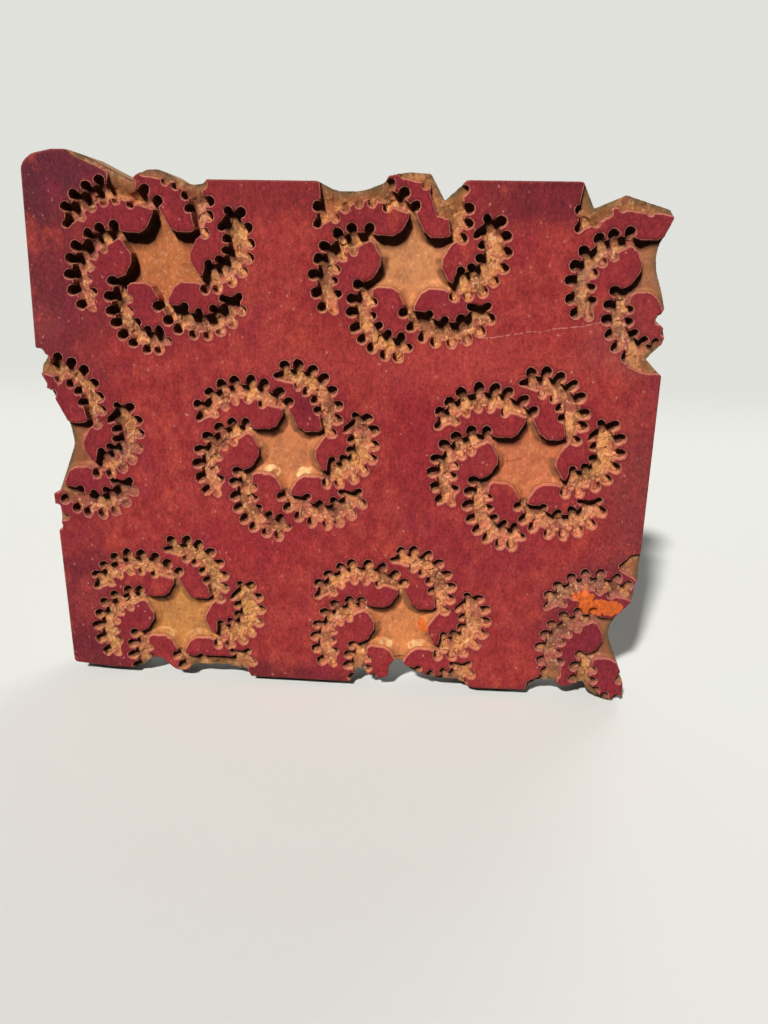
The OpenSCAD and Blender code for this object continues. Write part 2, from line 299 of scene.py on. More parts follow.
# Where the dye has darkened or worn: middle, half width, half height, colour and strength
DYE_PATCHES = [
    (-228, 320, 70, 150, (98, 40, 47), 0.95), (-150, 345, 90, 80, (130, 42, 49), 0.65),
    (-212, 190, 44, 150, (120, 42, 50), 0.75), (-215, 60, 74, 84, (104, 36, 46), 0.85),
    (-190, 396, 120, 44, (92, 38, 50), 0.9), (-40, 385, 160, 36, (126, 42, 46), 0.85),
    (150, 388, 96, 36, (108, 36, 44), 0.95), (228, 320, 44, 120, (128, 50, 52), 0.75),
    (228, 150, 38, 150, (126, 52, 54), 0.85), (200, 52, 64, 64, (106, 40, 52), 0.85),
    (-60, 6, 320, 18, (104, 36, 44), 0.85), (62, 222, 40, 90, (140, 38, 46), 0.75),
    (-70, 124, 90, 34, (148, 42, 50), 0.6), (110, 124, 70, 36, (134, 40, 52), 0.65),
    (0, 292, 40, 90, (142, 46, 44), 0.5), (80, 268, 90, 36, (172, 66, 60), 0.6),
    (-40, 262, 70, 26, (170, 66, 60), 0.5), (60, 12, 90, 22, (168, 58, 54), 0.6),
    (-24, 232, 15, 26, (88, 28, 42), 0.8), (-28, 240, 12, 12, (88, 28, 42), 0.6),
    (24, 372, 60, 34, (116, 40, 44), 0.6), (215, 372, 40, 34, (112, 46, 46), 0.6),
    (-226, 240, 30, 36, (98, 38, 44), 0.7), (205, 98, 54, 34, (102, 42, 50), 0.75),
    (-206, 22, 44, 26, (100, 38, 46), 0.75), (-120, 310, 60, 40, (120, 42, 48), 0.35),
    (-226, 288, 24, 26, (140, 58, 58), 0.6), (-207, 64, 26, 26, (146, 56, 56), 0.6),
    (-80, 324, 32, 52, (168, 68, 58), 0.5), (206, 286, 40, 40, (160, 76, 68), 0.55), (86, 22, 44, 18, (176, 66, 62), 0.6),
]


# Scratches on the printing face: from, to, half width, colour and strength
SCRATCHES = [
    ((100, 286), (148, 293), 0.6, (206, 136, 124), 0.6), ((146, 293), (196, 302), 0.7, (206, 136, 124), 0.7),
    ((132, 260.3), (164, 261.3), 0.8, (70, 24, 28), 0.8), ((-196, 371.8), (-176, 372.1), 0.9, (60, 22, 28), 0.8),
    ((101, 154.9), (121, 155.7), 0.8, (66, 22, 28), 0.8), ((76, 80.8), (86.5, 81.3), 0.7, (66, 22, 28), 0.8),
]
# Flakes of orange pigment: middle, half width and half height
PIGMENT = [(208, 82, 24, 10), (194, 90, 12, 6), (68, 57, 6, 9)]
# How light each board of a layer is beside the next
BOARD_TONES = [0.9, 1.06, 0.96, 0.84]


def carved_face_finish():
    """Dyed printing face, worn edges, stained walls and bare wood in the carving, with painted shadow, shade and light
    in the carving.
    """
    s = Sheet("carved_face")
    depth = s.math("MULTIPLY_ADD", s.y, 1000.0, 25.0)
    gap = s.attribute("wall_gap")
    rim = s.attribute("edge_gap")
    petal = s.attribute("petal")
    painted_shadow = s.attribute("painted_shadow")
    outer = s.attribute("outer")
    facet = s.attribute("facet")
    floor = s.attribute("floor_colour", "Color")
    grain = s.noise((620, 400, 70), 4, 0.6, distortion=0.6)
    mottle = s.noise((430, 430, 300), 4, 0.6)
    speckle = s.noise((900, 900, 700), 3, 0.7)
    blotch = s.noise((110, 110, 80), 4, 0.6)
    cloud = s.noise((20, 20, 16), 4, 0.6)
    drift = s.math("MULTIPLY_ADD", cloud, 1.3, -0.65)

    # dye: patches, fine mottling, pale flecks and scratches
    red = s.mix(s.ramp(blotch, 0.36, 0.66), srgb(144, 46, 47), srgb(163, 61, 56))
    for x, z, wide, high, colour, strength in DYE_PATCHES:
        spot = s.math("MULTIPLY", s.patch(x, z, wide, high, drift), strength)
        red = s.mix(spot, red, srgb(*colour))
    red = s.mix(s.math("MULTIPLY", petal, 0.55), red, srgb(132, 38, 48))
    beside = s.math("MULTIPLY", s.ramp(gap, 3.0, 0.8), s.ramp(mottle, 0.4, 0.6, 0.2, 0.7))
    red = s.mix(beside, red, srgb(112, 36, 40))
    drifts = s.noise((42, 42, 30), 5, 0.62, (6, 2, 9))
    red = s.mix(s.ramp(drifts, 0.54, 0.7, 0.0, 0.5), red, srgb(184, 74, 58))
    red = s.mix(s.ramp(drifts, 0.46, 0.32, 0.0, 0.5), red, srgb(134, 40, 58))
    shade = s.math("MULTIPLY_ADD", mottle, 1.2, 0.4)
    shade = s.math("MULTIPLY", shade, s.math("MULTIPLY_ADD", speckle, 1.6, 0.2))
    shade = s.math("MULTIPLY", shade, s.math("MULTIPLY_ADD", grain, 0.5, 0.75))
    red = s.shaded(red, shade)
    pale = s.math("ADD", s.specks((170, 170, 130)), s.math("MULTIPLY_ADD", speckle, 0.8, -0.4))
    pale = s.math("MULTIPLY", s.ramp(pale, 0.13, 0.04), s.ramp(blotch, 0.44, 0.56))
    red = s.mix(s.math("MULTIPLY", pale, 0.6), red, srgb(214, 146, 130))
    wander = s.math("MULTIPLY_ADD", s.noise((60, 60, 60), 2, 0.5, (4, 4, 4)), 5.0, -2.5)
    for start, end, width, colour, strength in SCRATCHES:
        line = s.math("MULTIPLY", s.stroke(start, end, width, wander), s.math("MULTIPLY", s.ramp(mottle, 0.3, 0.6), strength))
        red = s.mix(line, red, srgb(*colour))

    # bare wood in the carving: each cut of the tool has its own tone
    channel = s.ramp(s.attribute("in_channel"), 0.2, 0.6)
    bent = s.add("ShaderNodeVectorMath", operation="MULTIPLY_ADD")
    s.link(s.noise((160, 160, 160), 2, 0.5, (2, 2, 2)), bent.inputs[0])
    bent.inputs[1].default_value = (1.1, 1.1, 1.1)
    s.link(s.stretched((165, 120, 140), (3, 1, 2)), bent.inputs[2])
    cut = s.add("ShaderNodeTexVoronoi")
    s.link(bent.outputs[0], cut.inputs["Vector"])
    cut.inputs["Scale"].default_value = 1.0
    tones = s.add("ShaderNodeSeparateColor")
    s.link(cut.outputs["Color"], tones.inputs[0])
    ridge = s.add("ShaderNodeTexVoronoi", feature="DISTANCE_TO_EDGE")
    s.link(bent.outputs[0], ridge.inputs["Vector"])
    ridge.inputs["Scale"].default_value = 1.0
    in_cuts = s.math("MULTIPLY_ADD", channel, 0.75, 0.25)
    stretch = s.noise((26, 26, 22), 3, 0.55, (9, 9, 4))
    wood = s.mix(s.math("MULTIPLY", s.ramp(stretch, 0.5, 0.6, 0.0, 0.55), channel), floor, srgb(214, 150, 80))
    bleed = s.math("MULTIPLY_ADD", mottle, 5.0, s.math("ADD", gap, -2.5))
    bleed = s.math("MAXIMUM", s.ramp(bleed, -3.0, -0.8, 0.0, 0.7), s.ramp(stretch, 0.46, 0.36, 0.0, 0.5))
    wood = s.mix(s.math("MULTIPLY", bleed, channel), wood, srgb(178, 84, 76))
    wood = s.mix(s.math("MULTIPLY", s.ramp(tones.outputs[0], 0.45, 0.95, 0.0, 0.75), in_cuts), wood, srgb(132, 74, 54))
    wood = s.mix(s.math("MULTIPLY", s.ramp(tones.outputs[1], 0.6, 1.0, 0.0, 0.6), in_cuts), wood, srgb(222, 152, 90))
    wood = s.mix(s.math("MULTIPLY", s.ramp(tones.outputs[2], 0.6, 1.0, 0.0, 0.6), channel), wood, srgb(178, 84, 78))
    # painted shade: star floors darker towards their walls
    star_rim_shade = s.math("MULTIPLY", s.ramp(gap, -7.0, -1.0, 0.0, 0.5), s.math("SUBTRACT", 1.0, channel))
    wood = s.mix(star_rim_shade, wood, srgb(156, 90, 52))
    chalk = s.ramp(s.noise((330, 330, 260), 5, 0.75, (8, 3, 5)), 0.52, 0.64)
    wood = s.mix(s.math("MULTIPLY", chalk, s.math("MULTIPLY_ADD", channel, 0.1, 0.4)), wood, srgb(230, 174, 130))
    pits = s.ramp(s.noise((300, 300, 240), 5, 0.75, (1, 8, 5)), 0.56, 0.66)
    wood = s.mix(s.math("MULTIPLY", pits, 0.4), wood, srgb(132, 76, 46))
    # painted shade on star facets below a wall, which face down away from the lamp
    wood = s.mix(s.math("MULTIPLY", s.ramp(facet, -0.1, -0.9), 0.75), wood, srgb(136, 92, 62))
    # painted light on star facets that face up toward the lamp
    wood = s.mix(s.math("MULTIPLY", s.ramp(facet, 0.0, 1.0), s.ramp(mottle, 0.3, 0.6, 0.6, 1.0)), wood, srgb(236, 194, 136))
    smudge = s.ramp(s.noise((75, 75, 60), 4, 0.6, (2, 7, 6)), 0.5, 0.62)
    smudge = s.math("MULTIPLY", smudge, s.math("MULTIPLY_ADD", channel, 0.4, 0.2))
    wood = s.mix(smudge, wood, srgb(106, 62, 44))
    # painted crease shade and painted highlight: thin dark and light lines along the borders of the tool cuts
    cut_edge_shade_and_highlight = s.math("MULTIPLY", s.ramp(ridge.outputs["Distance"], 0.09, 0.02), channel)
    wood = s.mix(s.math("MULTIPLY", cut_edge_shade_and_highlight, s.ramp(mottle, 0.5, 0.6, 0.0, 0.6)), wood, srgb(76, 38, 28))
    wood = s.mix(s.math("MULTIPLY", cut_edge_shade_and_highlight, s.ramp(mottle, 0.5, 0.4, 0.0, 0.5)), wood, srgb(240, 200, 150))
    fibre = s.noise((520, 420, 240), 5, 0.7, (5, 5, 5), 0.5)
    wood = s.shaded(wood, s.math("MULTIPLY_ADD", fibre, 0.9, 0.52))
    aged = s.math("MULTIPLY", s.ramp(rim, 15.0, 3.0), s.ramp(blotch, 0.36, 0.6, 0.35, 0.92))
    wood = s.mix(aged, wood, s.mix(s.ramp(rim, 5.0, 0.8), srgb(144, 92, 58), srgb(96, 80, 56)))
    # painted shade: the floor darker in a band along the foot of each wall
    crevice_shade = s.math("MULTIPLY", s.ramp(gap, -0.6, -0.9), s.ramp(gap, -2.0, -1.1))
    wood = s.mix(s.math("MULTIPLY", crevice_shade, 0.45), wood, srgb(112, 62, 46))

    # stained walls and the painted shadow below upper edges, then the worn edge
    bled = s.math("ADD", depth, s.math("MULTIPLY_ADD", mottle, 4.0, -2.0))
    wall = s.mix(s.ramp(bled, 0.0, 2.4), srgb(178, 90, 84), s.mix(0.75, srgb(184, 108, 92), floor))
    wall = s.shaded(wall, s.math("MULTIPLY_ADD", fibre, 0.7, 0.62))
    at_wall = s.ramp(s.math("ABSOLUTE", gap), 1.0, 0.5)
    below = s.mix(at_wall, wood, wall)
    outside = s.mix(s.ramp(bled, 1.0, 9.0), srgb(110, 52, 48), srgb(132, 92, 66))
    outside = s.shaded(outside, s.math("MULTIPLY_ADD", fibre, 0.9, 0.5))
    # painted shadow: near black where the key lamp's shadow falls below upper edges, and on walls facing away from it
    below = s.mix(s.math("MULTIPLY", painted_shadow, 0.92), below, srgb(34, 16, 14))
    below = s.mix(outer, below, outside)
    line = s.math("MULTIPLY", s.ramp(gap, 0.8, 0.2), s.ramp(mottle, 0.35, 0.6, 0.3, 0.9))
    top = s.mix(line, red, srgb(198, 126, 108))
    worn = s.math("MULTIPLY", s.ramp(rim, 1.6, 0.3), s.ramp(mottle, 0.35, 0.6, 0.2, 0.8))
    top = s.mix(worn, top, srgb(136, 74, 62))
    colour = s.mix(s.ramp(depth, 0.6, 1.2), top, below)
    for x, z, wide, high in PIGMENT:
        flake = s.ramp(s.math("MULTIPLY", s.patch(x, z, wide, high, drift), mottle), 0.25, 0.3)
        colour = s.mix(s.math("MULTIPLY", flake, 0.85), colour, s.shaded(srgb(210, 100, 42), shade))
    s.link(colour, s.shader.inputs["Base Color"])
    s.shader.inputs["Roughness"].default_value = 0.85
    s.shader.inputs["Specular IOR Level"].default_value = 0.12
    relief = s.bump(speckle, 0.5, 0.16 * MM)
    relief = s.bump(mottle, 0.35, 0.2 * MM, relief)
    relief = s.bump(grain, 0.35, 0.14 * MM, relief)
    s.link(relief, s.shader.inputs["Normal"])
    return s.material


def board_finish(name, along, number, pale, dark, aged):
    """Sawn softwood of one board of a layer, with its own grain and tone.

    along is the axis that the grain runs on, 0 for X and 2 for Z, and number counts the boards of the layer.
    """
    s = Sheet(name)
    shift = (3.1 * number, 5.7 * number, 1.3 * number)

    def along_grain(across, lengthwise):
        scale = [across] * 3
        scale[along] = lengthwise
        return scale

    bands = s.noise(along_grain(170, 7), 5, 0.6, shift, 0.4)
    fine = s.noise(along_grain(1500, 40), 4, 0.6, shift)
    rings = s.noise(along_grain(34, 3), 3, 0.5, shift, 0.8)
    stain = s.noise(along_grain(30, 9), 5, 0.65, shift)
    wood = s.mix(s.ramp(bands, 0.36, 0.62), srgb(*pale), srgb(*dark))
    wood = s.mix(s.ramp(rings, 0.46, 0.56, 0.0, 0.4), wood, srgb(*dark))
    wood = s.mix(s.ramp(stain, 0.46, 0.66, 0.0, 0.7), wood, srgb(*aged))
    wood = s.mix(s.math("MULTIPLY", s.ramp(fine, 0.5, 0.25), 0.4), wood, srgb(96, 62, 38))
    tone = BOARD_TONES[number]
    wood = s.mix(1.0, wood, (tone, tone, tone), "MULTIPLY")
    dirt = s.math("MULTIPLY", s.ramp(s.attribute("eased"), 0.1, 0.8), 0.8)
    wood = s.mix(dirt, wood, srgb(62, 42, 28))
    s.link(wood, s.shader.inputs["Base Color"])
    s.shader.inputs["Roughness"].default_value = 0.75
    s.shader.inputs["Specular IOR Level"].default_value = 0.2
    relief = s.bump(bands, 0.3, 0.3 * MM)
    relief = s.bump(fine, 0.4, 0.15 * MM, relief)
    s.link(relief, s.shader.inputs["Normal"])
    return s.material


def peg_finish():
    s = Sheet("pegs")
    rays = s.noise((900, 60, 900), 4, 0.6)
    wood = s.mix(s.ramp(rays, 0.35, 0.65), srgb(118, 78, 48), srgb(170, 124, 84))
    s.link(wood, s.shader.inputs["Base Color"])
    s.shader.inputs["Roughness"].default_value = 0.6
    s.link(s.bump(rays, 0.4, 0.2 * MM), s.shader.inputs["Normal"])
    return s.material


# ---------- carved face ----------

# Cracks in the printing face: from, to, half width and depth
CRACKS = [
    (Vector((x0, z0)) * MM, Vector((x1, z1)) * MM, width * MM, depth * MM)
    for x0, z0, x1, z1, width, depth in (
        (132, 260.3, 164, 261.3, 0.7, 0.8), (-196, 371.8, -176, 372.1, 0.8, 0.8), (101, 154.9, 121, 155.7, 0.7, 0.9),
        (76, 80.8, 86.5, 81.3, 0.6, 0.8), (-231, 15, -222, 13.5, 1.0, 1.6), (-229, 22, -221, 17, 0.8, 1.2))
]
SEAMS = (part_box("face_board_middle")[0][0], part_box("face_board_middle")[1][0] - TONGUE)


def solid_tree(keep):
    """Search tree of the faces of the carved boards that pass a test."""
    corners, faces = [], []
    for name in FACE_BOARDS:
        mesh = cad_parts[name].data
        for face in mesh.polygons:
            points = [mesh.vertices[i].co.copy() for i in face.vertices]
            if keep(face.normal, points):
                faces.append(tuple(range(len(corners), len(corners) + len(points))))
                corners.extend(points)
    return BVHTree.FromPolygons(corners, faces)


def upright_wall(normal, points):
    on_seam = abs(normal.x) > 0.99 and any(abs(seam - points[0].x) < 0.02 * MM for seam in SEAMS)
    return abs(normal.y) < 0.1 and not on_seam


def edge_wall(normal, points):
    """A piece of the outline, seen in the plain wood below the carving."""
    depths = [p.y - FACE_Y for p in points]
    return upright_wall(normal, points) and max(depths) > STAR_DEPTH + 0.1 * MM and min(depths) < STAR_DEPTH + 2 * MM


EDGE_TREE = solid_tree(edge_wall)


def carving_wall(normal, points):
    """A wall of a star or a channel that comes up to the printing face and isn't part of the outline."""
    if not upright_wall(normal, points) or min(p.y for p in points) > FACE_Y + 0.5 * MM:
        return False
    middle = sum(points, Vector()) / len(points)
    middle.y = FACE_Y + STAR_DEPTH + 0.5 * MM
    return EDGE_TREE.find_nearest(middle)[3] > 0.05 * MM


CARVING_TREE = solid_tree(carving_wall)
FRONT_TREE = solid_tree(lambda normal, points: normal.y < -0.9)


def nominal_depth(x, z):
    """Depth of the board's front behind the printing face, or None outside the outline."""
    hit = FRONT_TREE.ray_cast(Vector((x, FACE_Y - 10 * MM, z)), Vector((0, 1, 0)), 30 * MM)[0]
    return None if hit is None else hit.y - FACE_Y


def wave(x, z, length, seed):
    return noise.noise(Vector((x / length, z / length, seed)))


def chisel_cuts(x, z, size, seed):
    """Flat cuts: each cell of a random net leans its own way. From about -1 to 1."""
    where = Vector((x / size, z / size, seed))
    near = noise.voronoi(where, distance_metric="DISTANCE")[1][0]
    lean = noise.cell_vector(near * 7.3) * 2 - Vector((1, 1, 1))
    return (where.x - near.x) * lean.x + (where.y - near.y) * lean.y + 0.35 * lean.z


def rim_drop(distance, reach, drop):
    """How far the printing face is worn down beside an edge."""
    return drop * (1 - distance / reach) ** 2 if distance < reach else 0.0


def ease(value, low, high):
    share = max(0.0, min(1.0, (value - low) / (high - low)))
    return share * share * (3 - 2 * share)


def nearest_motif(x, z):
    motif = min(MOTIFS, key=lambda m: (m.x - x) ** 2 + (m.z - z) ** 2)
    return motif, math.hypot(x - motif.x, z - motif.z)


def channel_depth(x, z, wall, motif):
    """Depth of a hand-cut channel: a steep wall with a soft foot and a floor with the marks of the tool."""
    steep = 0.55 * MM
    full = CHANNEL_DEPTH * motif.deep * (1 + 0.14 * wave(x, z, 17 * MM, 5.2))
    if wall < steep:
        return 0.3 * MM + (0.76 * full - 0.3 * MM) * wall / steep
    foot = math.sqrt(min(1.0, (wall - steep) / (2.8 * MM)))
    marks = 1.1 * chisel_cuts(x, z, 7 * MM, 0.5) + 0.4 * wave(x, z, 2.6 * MM, 8.8)
    return full * (0.76 + 0.24 * foot) + marks * MM * foot


def star_depth(x, z, wall, motif):
    """Depth of a star: a steep rim, a sloped facet along each side and a nearly flat floor."""
    steep = 0.6 * MM
    if wall < steep:
        return 0.3 * MM + (motif.rim - 0.3 * MM) * wall / steep
    down = min(1.0, (wall - steep) / motif.slope)
    marks = 0.35 * chisel_cuts(x, z, 13 * MM, 0.5) + 0.15 * wave(x, z, 5 * MM, 7.7)
    return motif.rim + (motif.bowl - motif.rim) * down + marks * MM * (0.4 + 0.6 * down)


def recess_depth(x, z, wall, motif, radius):
    """Depth of the carving; the floor of a star runs into the channels at its tips."""
    neck = ease(radius, 0.80 * STAR_R, 0.98 * STAR_R)
    depth = channel_depth(x, z, wall, motif) if neck > 0 else 0.0
    if neck < 1:
        depth += (1 - neck) * (star_depth(x, z, wall, motif) - depth)
    return depth


def crack_depth(x, z):
    """Depth of the cracks in the plain parts of the printing face."""
    deepest = 0.0
    for start, end, width, depth in CRACKS:
        along = end - start
        share = max(0.0, min(1.0, (Vector((x, z)) - start).dot(along) / along.length_squared))
        beside = (Vector((x, z + 0.8 * MM * wave(x, z, 7 * MM, 2.2))) - start - share * along).length
        if beside < width:
            deepest = max(deepest, depth * (1 - beside / width))
    return deepest


def exposed(x, z):
    """Share of the surroundings that is cut away: above a half on the tip of a tooth or a corner."""
    reach = 1.6 * MM
    open_sides = 0
    for k in range(8):
        angle = k * math.pi / 4
        depth = nominal_depth(x + reach * math.cos(angle), z + reach * math.sin(angle))
        open_sides += depth is not None and depth > 1 * MM
    return open_sides / 8


def painted_shadow_share(x, z, depth):
    """Painted shadow: 1 close below an upper edge, along the key lamp's direction where its cast shadow falls, 0 in
    the open.
    """
    gap = CARVING_TREE.ray_cast(Vector((x, FACE_Y + 1 * MM, z)), Vector((-0.36, 0, 0.93)), 1.7 * depth)[3]
    return 0.0 if gap is None else ease(-gap, -1.7 * depth, -0.6 * depth)


def surface_depth(x, z, nominal, wall, edge, motif, radius, petal):
    """Depth of the worn and hand-cut surface; wall and edge are the distances to carving and outline."""
    bevel = ease(x, -200 * MM, -188 * MM) * ease(-x, 146 * MM, 154 * MM) * ease(z, 376 * MM, 384 * MM)
    worn = max(rim_drop(edge, 1.5 * MM, 0.6 * MM), bevel * 3 * MM * (1 - min(1.0, edge / (3.6 * MM))))
    if nominal < 1 * MM:
        uneven = 0.06 * MM * (1 + wave(x, z, 25 * MM, 4.1))
        reach, drop = (1.6 * MM, 0.6 * MM) if petal > 0.5 else (0.9 * MM, 0.3 * MM)
        tip = 1.5 * MM * ease(exposed(x, z), 0.45, 0.8) if wall < 1 * MM else 0.0
        return max(worn, rim_drop(wall, reach, drop) + uneven, crack_depth(x, z), tip)
    if z > 30 * MM:
        kept = 0.25 if x < -146 * MM and z > 370 * MM else 0.5
        cleared = kept + (1 - kept) * ease(edge, 2 * MM, 15 * MM)
    else:
        cleared = 1.0
    return max(recess_depth(x, z, wall, motif, radius) * cleared, worn)


def comb_place(motif, x, z):
    """Where a place lies on the comb beside it: how far along a tooth from its tip, the way there and a weight.

    The length counts outwards along an outer tooth and inwards along an inner one, in metres.
    """
    best = (0.0, Vector((0, 0)), 0.0, False)
    spot = Vector((x - motif.x, z - motif.z)) / MM
    for k, (distance, side, outer, inner, first, last) in enumerate(ARCS):
        spun = Matrix.Rotation(math.radians(60 * k + motif.turned), 2)
        centre = spun @ (distance * Vector((-math.sin(math.radians(side)), math.cos(math.radians(side)))))
        away = spot - centre
        local = spun.transposed() @ away
        angle = math.degrees(math.atan2(local.y, local.x))
        radius = away.length
        window = ease(angle, first - 14, first - 4) * ease(-angle, -last - 16, -last - 6)
        for length, way, outward in ((radius - outer, away, True), (inner - radius, -away, False)):
            weight = window * ease(-length, -13 if outward else -9, -6.5 if outward else -4.5)
            if length > -1.5 and weight > best[2]:
                best = (length * MM, way.normalized(), weight, outward)
    return best


def comb_shift(motif, x, z, radius, wall, into_wood):
    """How far the comb's line is moved: longer notches, and teeth that taper to their tips."""
    near_star = ease(radius, 1.02 * STAR_R, 1.25 * STAR_R)
    if near_star == 0 or radius > 75 * MM:
        return Vector((0, 0))
    length, way, weight, outward = comb_place(motif, x, z)
    if weight == 0:
        return Vector((0, 0))
    tooth = 6.3 * MM if outward else 4.4 * MM
    longer = (1 if outward else 0.5) * motif.long * max(0.0, min(1.0, length / tooth))
    shift = longer * weight * way
    across = abs(into_wood.x * -way.y + into_wood.y * way.x)
    taper = 1 - 0.65 * ease(length, 0, 0.4 * tooth) - 0.35 * ease(length, 0.4 * tooth, 0.75 * tooth)
    thinner = (1 if outward else 0.7) * motif.slim * taper * across * math.exp(-wall / (1.2 * MM))
    return (shift + thinner * weight * into_wood) * near_star


def stray(x, z, edge):
    """How far the hand-cut line lies beside the drawn one."""
    amount = 0.6 * MM * min(1.0, edge / (2 * MM))
    return amount * wave(x, z, 6 * MM, 11.1), amount * wave(x, z, 6 * MM, 14.7)


def fine_net(left, right):
    """Upright net on a board, fine where the carving, the outline or a seam comes near."""
    coarse = 2.6 * MM
    low, high = CAD_BOX[0][2], CAD_BOX[1][2]
    wide, tall = right - left, high - low
    columns, rows = round(wide / coarse), round(tall / coarse)
    bm = bmesh.new()
    bmesh.ops.create_grid(bm, x_segments=columns, y_segments=rows, size=0.5)
    bmesh.ops.scale(bm, vec=(wide, tall, 1), verts=bm.verts)
    bmesh.ops.rotate(bm, cent=(0, 0, 0), matrix=Matrix.Rotation(math.pi / 2, 3, "X"), verts=bm.verts)
    bmesh.ops.translate(bm, vec=((left + right) / 2, FACE_Y, (low + high) / 2), verts=bm.verts)
    edges = set()
    for face in bm.faces:
        middle = face.calc_center_median()
        depth = nominal_depth(middle.x, middle.z)
        near = (
            depth is not None and depth > 1 * MM
            or CARVING_TREE.find_nearest(middle)[3] < 1.1 * coarse
            or EDGE_TREE.find_nearest(middle + Vector((0, STAR_DEPTH, 0)))[3] < 2 * coarse
            or min(middle.x - left, right - middle.x) < coarse
            or any(min(s.x, e.x) - coarse < middle.x < max(s.x, e.x) + coarse
                   and min(s.y, e.y) - coarse < middle.z < max(s.y, e.y) + coarse for s, e, _, _ in CRACKS))
        if near:
            edges.update(face.edges)
    bmesh.ops.subdivide_edges(bm, edges=list(edges), cuts=3, use_grid_fill=True)
    return bm, max(wide / columns, tall / rows) / 4


def face_relief(name):
    """Board of the face, cut from a net whose corners are drawn onto the edges of the carving."""
    low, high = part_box(name)
    left = low[0]
    right = high[0] if name == "face_board_right" else high[0] - TONGUE
    bm, cell = fine_net(left, right)
    gap_layer = bm.verts.layers.float.new("wall_gap")
    petal_layer = bm.verts.layers.float.new("petal")
    outer_layer = bm.verts.layers.float.new("outer")
    edge_layer = bm.verts.layers.float.new("edge_gap")
    facet_layer = bm.verts.layers.float.new("facet")
    painted_shadow_layer = bm.verts.layers.float.new("painted_shadow")
    channel_layer = bm.verts.layers.float.new("in_channel")
    floor_layer = bm.verts.layers.float_color.new("floor_colour")
    reach = 0.52 * cell
    outside, drawn = [], []
    for vertex in bm.verts:
        x, _, z = vertex.co
        on_seam = min(abs(x - seam) for seam in SEAMS) < 1e-6
        near, normal, _, edge = EDGE_TREE.find_nearest(Vector((x, FACE_Y + STAR_DEPTH + 0.5 * MM, z)))
        probe_x, probe_z = x, z
        if edge < reach:
            x = x if on_seam else near.x
            z = near.z
            probe_x, probe_z = x - normal.x * 0.3 * MM, z - normal.z * 0.3 * MM
            edge = 0.0
        nominal = nominal_depth(probe_x, probe_z)
        if nominal is None:
            if edge > 0:
                outside.append(vertex)
                continue
            nominal = 0.0
        near, side, _, wall = CARVING_TREE.find_nearest(Vector((x, FACE_Y + 1 * MM, z)))
        above_wall = (z - near.z) / max(wall, 0.1 * MM)
        into_wood = Vector((-side.x, -side.z))
        if wall > reach:
            into_wood = Vector((x - near.x, z - near.z)) / wall * (-1 if nominal > 1 * MM else 1)
        if wall < reach and edge > 0:
            x = x if on_seam else near.x
            z = near.z
            wall = nominal = 0.0
            drawn.append(vertex)
        elif edge == 0:
            drawn.append(vertex)
        motif, radius = nearest_motif(x, z)
        petal = ease(-radius, -66 * MM, -54 * MM)
        depth = surface_depth(x, z, nominal, wall, edge, motif, radius, petal)
        aside, above = stray(x, z, edge)
        shift = comb_shift(motif, x, z, radius, wall, into_wood) * min(1.0, edge / (3 * MM))
        vertex.co = Vector((x + aside + shift.x, FACE_Y + depth, z + above + shift.y))
        vertex[gap_layer] = min(wall, 0.01) * 1000 * (-1 if nominal > 1 * MM else 1)
        vertex[petal_layer] = petal
        vertex[edge_layer] = min(edge, 0.02) * 1000
        in_star = nominal > 1 * MM and radius < 0.95 * STAR_R and 0.5 * MM < wall < motif.slope + 0.6 * MM
        beside = abs(x - motif.x)
        kept = ease(beside, 4.5 * MM, 8 * MM) * ease(-beside, -21 * MM, -15 * MM) * ease(wall, 0.8 * MM, 2 * MM)
        # facet: above 0 painted light on facets facing up, below 0 painted shade on facets under a wall
        if in_star and above_wall > 0.8:
            vertex[facet_layer] = motif.clean * kept * ease(wave(x, z, 5 * MM, 9.3), -0.45, 0.15)
        elif in_star:
            kept = ease(-above_wall, -0.6, 0.2) * ease(wave(x, z, 9 * MM, 6.6), -0.25, 0.2)
            vertex[facet_layer] = -kept * ease(-wall, -motif.slope - 0.6 * MM, -0.7 * motif.slope)
        if nominal > 1 * MM:
            # painted shadow where the key lamp's shadow falls in the carving
            vertex[painted_shadow_layer] = painted_shadow_share(x, z, 0.92 * depth)
        elif wall == 0:
            # painted shade on the top edge of walls that face away from the key lamp
            vertex[painted_shadow_layer] = ease(0.36 * side.x - 0.93 * side.z, 0.0, 0.5)
        blend = max(0.0, min(1.0, (radius - 0.75 * STAR_R) / (0.3 * STAR_R)))
        vertex[floor_layer] = (*motif.star.lerp(motif.channel, blend), 1)
        vertex[channel_layer] = blend
    bmesh.ops.delete(bm, geom=outside, context="VERTS")
    bmesh.ops.connect_verts(bm, verts=drawn)
    bmesh.ops.remove_doubles(bm, verts=bm.verts, dist=0.02 * MM)
    bmesh.ops.delete(bm, geom=[v for v in bm.verts if not v.link_faces], context="VERTS")
    close_board(bm, outer_layer)
    mesh = bpy.data.meshes.new("relief_" + name)
    bm.to_mesh(mesh)
    bm.free()
    mesh.polygons.foreach_set("use_smooth", [True] * len(mesh.polygons))
    mesh.set_sharp_from_angle(angle=math.radians(42))
    return link("relief_" + name, mesh)


def close_board(bm, outer_layer):
    """Gives the net its sides and its back against the core."""
    rim = [e for e in bm.edges if e.is_boundary]
    steps = 5
    for step in range(1, steps + 1):
        grown = bmesh.ops.extrude_edge_only(bm, edges=rim)["geom"]
        rim = [g for g in grown if isinstance(g, bmesh.types.BMEdge) and g.is_boundary]
        for vertex in (g for g in grown if isinstance(g, bmesh.types.BMVert)):
            share = 1 / (steps + 1 - step)
            vertex.co.y += (CORE_Y - vertex.co.y) * share
            vertex[outer_layer] = 1
    bmesh.ops.holes_fill(bm, edges=[e for e in bm.edges if e.is_boundary], sides=0)
    bmesh.ops.recalc_face_normals(bm, faces=bm.faces)


def link(name, mesh):
    thing = bpy.data.objects.new(name, mesh)
    bpy.context.collection.objects.link(thing)
    return thing


